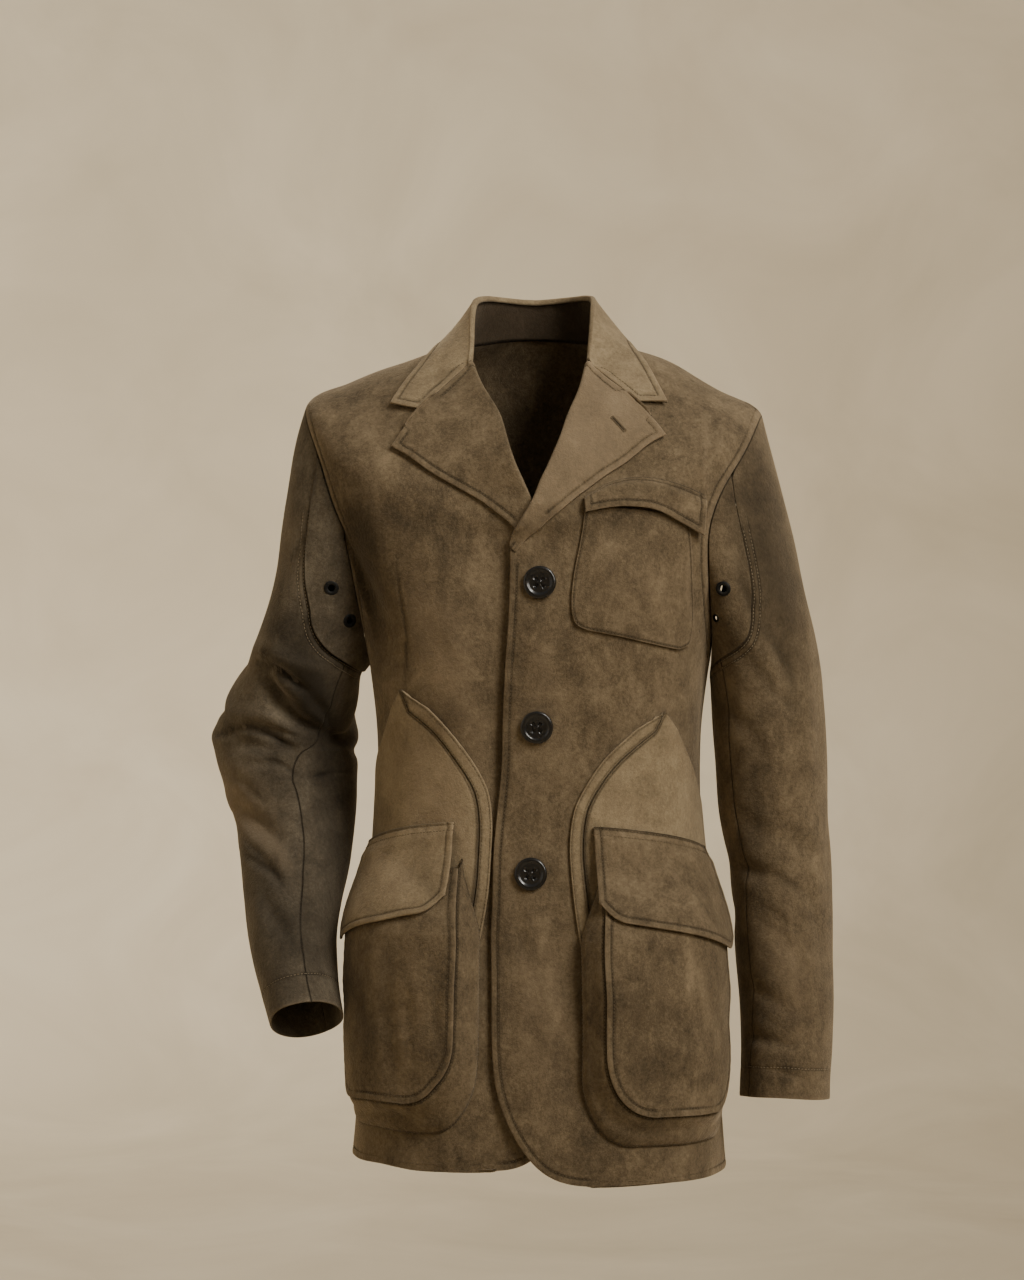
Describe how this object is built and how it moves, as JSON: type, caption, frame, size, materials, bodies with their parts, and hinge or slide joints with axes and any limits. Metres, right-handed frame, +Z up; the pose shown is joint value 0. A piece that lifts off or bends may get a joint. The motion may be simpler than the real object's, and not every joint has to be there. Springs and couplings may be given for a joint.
{
  "type": "field jacket",
  "caption": "Suede field jacket with notched lapels, a buttoned front, bellows hip pockets and vented underarm gussets, standing in its worn shape.",
  "frame": {"origin": "midway between the two neck points, where the shoulder seams meet the neckline and the jacket hangs from the wearer or a hanger", "axes": "+Z up, the front faces -Y, +X towards the wearer's left"},
  "size_m": [0.5925, 0.2637, 0.8226],
  "materials": {
    "suede": "napped suede, matt",
    "suede_inside": "reverse of the suede, matt",
    "horn": "polished black horn",
    "eyelet": "blackened metal"
  },
  "bodies": {
    "root": {"back": "suede", "button_1": "horn", "button_2": "horn", "button_3": "horn", "chest_flap": "suede", "chest_pocket": "suede", "collar_leaf": "suede", "collar_stand": "suede_inside", "eyelet_left_inner": "eyelet", "eyelet_left_outer": "eyelet", "eyelet_right_inner": "eyelet", "eyelet_right_outer": "eyelet", "front_left": "suede", "front_right": "suede", "gusset_left": "suede", "gusset_right": "suede", "hip_flap_left": "suede", "hip_flap_right": "suede", "hip_pocket_bellows_left": "suede", "hip_pocket_bellows_right": "suede", "hip_pocket_face_left": "suede", "hip_pocket_face_right": "suede", "lapel_left": "suede", "lapel_right": "suede", "pocket_welt_left": "suede", "pocket_welt_right": "suede", "side_panel_left": "suede", "side_panel_right": "suede", "sleeve_under_left": "suede", "sleeve_under_right": "suede", "sleeve_upper_left": "suede", "sleeve_upper_right": "suede"}
  },
  "joints": []
}
